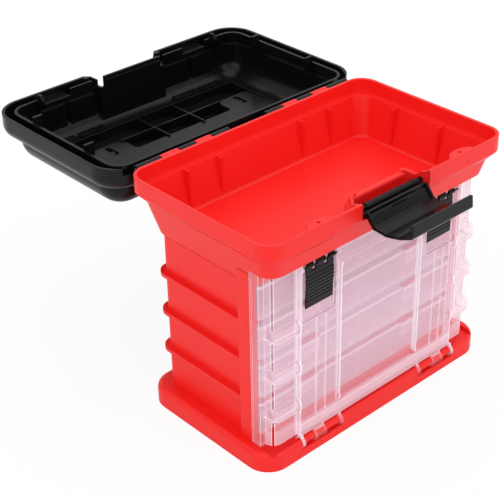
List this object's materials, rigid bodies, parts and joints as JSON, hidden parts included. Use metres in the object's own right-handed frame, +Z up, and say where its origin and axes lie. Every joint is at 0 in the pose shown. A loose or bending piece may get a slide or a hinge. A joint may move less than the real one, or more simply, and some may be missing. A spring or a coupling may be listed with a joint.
{
  "type": "rack tackle box",
  "caption": "Upright tackle box with a hinged lid over an open bin, and a frosted drop-down front door over stacked pull-out trays.",
  "frame": {"origin": "middle of the plinth's underside", "axes": "+X to the right along the front, +Y from the front to the rear, +Z up; the lid lies open behind the box at rest"},
  "size_m": [0.284, 0.3938, 0.2189],
  "materials": {
    "red_plastic": "satin",
    "black_plastic": "satin, finely textured",
    "frosted_plastic": "frosted",
    "steel": "plain"
  },
  "bodies": {
    "case": {"base_plinth": "red_plastic", "rack_carcass": "red_plastic", "top_bin": "red_plastic"},
    "lid": {"lid_shell": "black_plastic", "lid_hinge_pin_left": "steel", "lid_hinge_pin_right": "steel"},
    "handle": {"carry_handle": "black_plastic"},
    "latch": {"front_latch": "black_plastic"},
    "door": {"front_door": "frosted_plastic"},
    "door_latch_l": {"door_latch_left": "black_plastic"},
    "door_latch_r": {"door_latch_right": "black_plastic"},
    "tray_1": {"tray_1": "frosted_plastic", "tray_1_lid": "frosted_plastic", "tray_1_dividers": "frosted_plastic", "tray_1_clasps": "frosted_plastic"},
    "tray_2": {"tray_2": "frosted_plastic", "tray_2_lid": "frosted_plastic", "tray_2_dividers": "frosted_plastic", "tray_2_clasps": "frosted_plastic"},
    "tray_3": {"tray_3": "frosted_plastic", "tray_3_lid": "frosted_plastic", "tray_3_dividers": "frosted_plastic", "tray_3_clasps": "frosted_plastic"},
    "tray_4": {"tray_4": "frosted_plastic", "tray_4_lid": "frosted_plastic", "tray_4_dividers": "frosted_plastic", "tray_4_clasps": "frosted_plastic"}
  },
  "joints": [
    {"name": "lid_hinge", "type": "hinge", "parent": "case", "child": "lid", "pos_m": [0, 0.0876, 0.212], "axis": [1, 0, 0], "range_deg": [0, 180]},
    {"name": "handle_pivot", "type": "hinge", "parent": "lid", "child": "handle", "pos_m": [0, 0.181, 0.173], "axis": [1, 0, 0], "range_deg": [0, 95]},
    {"name": "latch_pivot", "type": "hinge", "parent": "case", "child": "latch", "pos_m": [0, -0.0744, 0.2072], "axis": [-1, 0, 0], "range_deg": [0, 95]},
    {"name": "door_hinge", "type": "hinge", "parent": "case", "child": "door", "pos_m": [0, -0.071, 0.0135], "axis": [1, 0, 0], "range_deg": [0, 90]},
    {"name": "door_latch_left_pivot", "type": "hinge", "parent": "door", "child": "door_latch_l", "pos_m": [-0.0705, -0.0706, 0.1768], "axis": [-1, 0, 0], "range_deg": [0, 75]},
    {"name": "door_latch_right_pivot", "type": "hinge", "parent": "door", "child": "door_latch_r", "pos_m": [0.0705, -0.0706, 0.1768], "axis": [-1, 0, 0], "range_deg": [0, 75]},
    {"name": "tray_1_slide", "type": "slide", "parent": "case", "child": "tray_1", "axis": [0, -1, 0], "range_m": [0, 0.0241]},
    {"name": "tray_2_slide", "type": "slide", "parent": "case", "child": "tray_2", "axis": [0, -1, 0], "range_m": [0, 0.0759]},
    {"name": "tray_3_slide", "type": "slide", "parent": "case", "child": "tray_3", "axis": [0, -1, 0], "range_m": [0, 0.0759]},
    {"name": "tray_4_slide", "type": "slide", "parent": "case", "child": "tray_4", "axis": [0, -1, 0], "range_m": [0, 0.0759]}
  ],
  "couplings": [
    {"joint": "tray_1_slide", "follows": "door_hinge", "m_per_rad": 0.015},
    {"joint": "tray_2_slide", "follows": "door_hinge", "m_per_rad": 0.048},
    {"joint": "tray_3_slide", "follows": "door_hinge", "m_per_rad": 0.048},
    {"joint": "tray_4_slide", "follows": "door_hinge", "m_per_rad": 0.048}
  ]
}
